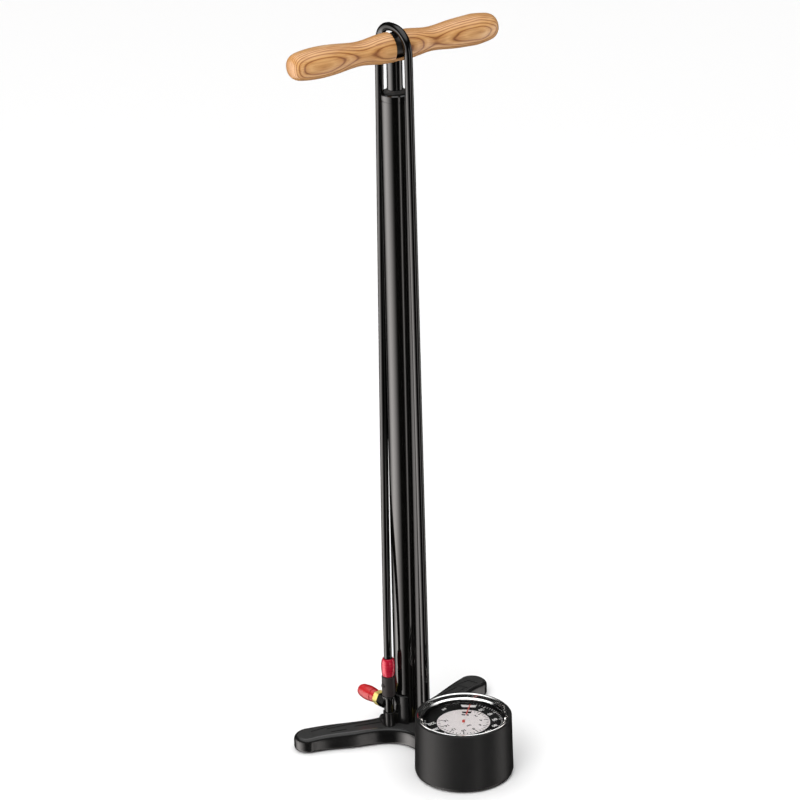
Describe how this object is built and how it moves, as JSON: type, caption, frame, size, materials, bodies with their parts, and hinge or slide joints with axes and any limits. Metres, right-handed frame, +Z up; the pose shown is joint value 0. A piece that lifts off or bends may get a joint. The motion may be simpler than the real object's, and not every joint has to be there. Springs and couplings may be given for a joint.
{
  "type": "floor bike pump",
  "caption": "Upright bicycle floor pump with a wooden T-handle, slim steel barrel, swept two-leg base, drum-shaped dial gauge, and an air hose hooked over the handle to a docked dual head.",
  "frame": {"origin": "on the floor, on the axis of the barrel, at the face of the centre foot pad", "axes": "+Z up along the barrel, X along the handle and the legs, -Y towards the gauge, the docked hose head at -X"},
  "size_m": [0.215, 0.1806, 0.6946],
  "materials": {
    "cast_black": "satin black powder coat on a casting",
    "housing_black": "satin moulded",
    "barrel_black": "high gloss black paint",
    "rubber": "smooth",
    "hose_rubber": "glossy extruded",
    "steel": "plain",
    "dark_steel": "black oxide",
    "aluminium": "turned",
    "acetal": "natural acetal",
    "wood": "satin varnish, lengthwise grain",
    "brass": "turned",
    "red_anodised": "red anodised, satin",
    "red_plastic": "moulded red",
    "chrome": "polished",
    "lens": "clear",
    "dial_black": "printed black",
    "dial_cream": "printed off-white",
    "needle_red": "red paint"
  },
  "bodies": {
    "root": {"base_casting": "cast_black", "foot_pads": "rubber", "barrel_tube": "barrel_black", "barrel_top_cap": "barrel_black", "rod_guide_bush": "acetal", "rod_wiper_seal": "rubber", "barrel_bottom_plug": "aluminium", "plug_o_ring": "rubber", "barrel_bolt": "steel", "check_valve_seat": "brass", "check_valve_spring": "steel", "air_hose": "hose_rubber", "hose_outlet_fitting": "brass", "hose_ferrule": "steel", "dock_bracket": "cast_black", "dock_screw": "dark_steel", "gauge_housing": "housing_black", "gauge_screws": "steel", "gauge_bezel": "chrome", "gauge_lens": "lens", "dial_spacer": "dial_black", "dial_plate": "dial_black", "inner_dial": "dial_cream", "movement_plates": "brass", "movement_pillars": "brass", "bourdon_tube": "brass", "gauge_pressure_block": "brass"},
    "piston": {"piston_rod": "barrel_black", "piston_head": "aluminium", "piston_cup_seal": "rubber", "piston_bolt": "steel", "piston_bumper": "rubber", "rod_top_insert": "aluminium", "handle": "wood", "handle_washer": "dark_steel", "handle_bolt": "dark_steel"},
    "hose_head": {"head_body": "barrel_black", "head_stem": "brass", "head_grip_sleeve": "rubber", "side_nipple": "brass"},
    "lock_collar": {"head_lock_collar": "red_anodised"},
    "bleed_button": {"bleed_button": "dark_steel"},
    "coupler": {"coupler": "red_plastic", "coupler_seal": "rubber"},
    "check_ball": {"check_valve_ball": "steel"},
    "pointer": {"needle": "needle_red", "needle_cap": "needle_red", "needle_arbor": "steel"},
    "sector": {"sector_gear": "brass"}
  },
  "joints": [
    {"name": "pump_stroke", "type": "slide", "parent": "root", "child": "piston", "axis": [0, 0, 1], "range_m": [0, 0.54], "deforming": ["air_hose"]},
    {"name": "head_lift", "type": "slide", "parent": "root", "child": "hose_head", "axis": [0, 0, 1], "range_m": [0, 0.02], "deforming": ["air_hose"]},
    {"name": "collar_slide", "type": "slide", "parent": "hose_head", "child": "lock_collar", "axis": [0, 0, 1], "range_m": [0, 0.004], "stiffness_N_per_m": 300, "springref_m": -0.002},
    {"name": "bleed_press", "type": "slide", "parent": "hose_head", "child": "bleed_button", "axis": [1, 0, 0], "range_m": [0, 0.0006], "stiffness_N_per_m": 500, "springref_m": -0.0005},
    {"name": "coupler_spin", "type": "hinge", "parent": "hose_head", "child": "coupler", "pos_m": [-0.0281, 0.02422, 0.04], "axis": [-0.1668, 0.986, 0], "continuous": true},
    {"name": "check_valve_travel", "type": "slide", "parent": "root", "child": "check_ball", "axis": [0, 0, -1], "range_m": [0, 0.002], "stiffness_N_per_m": 50, "springref_m": -0.001, "deforming": ["check_valve_spring"]},
    {"name": "sector_turn", "type": "hinge", "parent": "root", "child": "sector", "pos_m": [-0.02, -0.0915, 0.035], "axis": [0, 0, 1], "range_deg": [0, 30], "stiffness_Nm_per_rad": 0.01, "springref_deg": -5.73},
    {"name": "needle_turn", "type": "hinge", "parent": "root", "child": "pointer", "pos_m": [0, -0.0915, 0.05], "axis": [0, 0, 1], "range_deg": [-270, 0]}
  ],
  "couplings": [
    {"joint": "needle_turn", "follows": "sector_turn", "ratio": -9}
  ]
}
